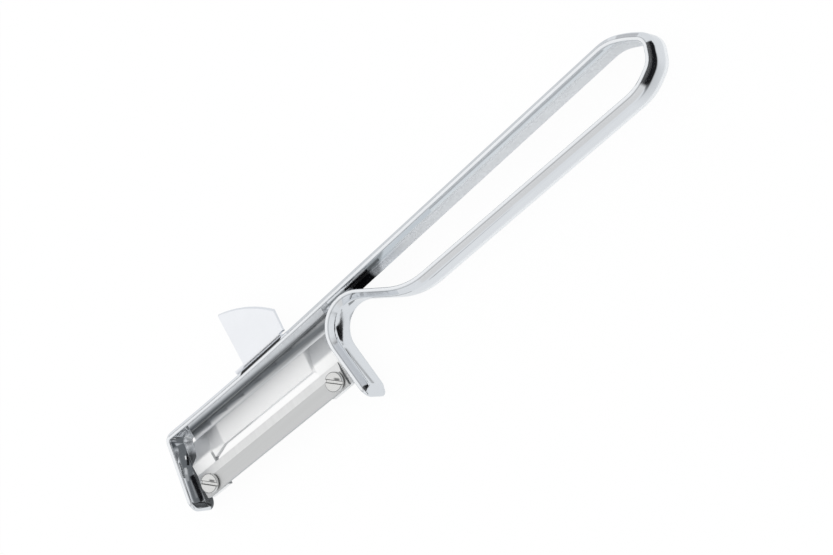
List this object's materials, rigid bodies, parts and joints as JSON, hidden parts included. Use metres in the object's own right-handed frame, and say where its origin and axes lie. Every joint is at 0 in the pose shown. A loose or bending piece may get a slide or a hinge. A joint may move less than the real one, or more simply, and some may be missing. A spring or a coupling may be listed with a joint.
{
  "type": "vegetable peeler",
  "caption": "Chromed hand peeler bent from one channel strip into an open loop handle, with a screwed-on steel blade, a guide plate and a side leaf for digging out potato eyes.",
  "frame": {"origin": "middle of the peeler's outline, on the plane that its rear rims lie on", "axes": "+X along the handle from the blade end to the closed nose, +Y out of the loop on the eye remover's side, +Z out of the side that carries the blade and screws"},
  "size_m": [0.1718, 0.0438, 0.011],
  "materials": {
    "frame_chrome": "polished",
    "holder_steel": "satin",
    "blade_steel": "satin",
    "screw_steel": "polished",
    "leaf_steel": "satin"
  },
  "bodies": {
    "frame": {"frame_strip": "frame_chrome", "blade_holder": "holder_steel", "eye_remover": "leaf_steel"},
    "blade": {"blade": "blade_steel"},
    "left_screw": {"left_blade_screw": "screw_steel"},
    "right_screw": {"right_blade_screw": "screw_steel"}
  },
  "joints": [
    {"name": "blade_adjust", "type": "slide", "parent": "frame", "child": "blade", "axis": [0.0227, 0.9997, 0], "range_m": [-0.0004, 0.0004]},
    {"name": "left_screw_turn", "type": "hinge", "parent": "frame", "child": "left_screw", "pos_m": [-0.07779, -0.01145, 0], "axis": [0, 0, 1], "continuous": true},
    {"name": "right_screw_turn", "type": "hinge", "parent": "frame", "child": "right_screw", "pos_m": [-0.032, -0.01249, 0], "axis": [0, 0, 1], "continuous": true}
  ]
}
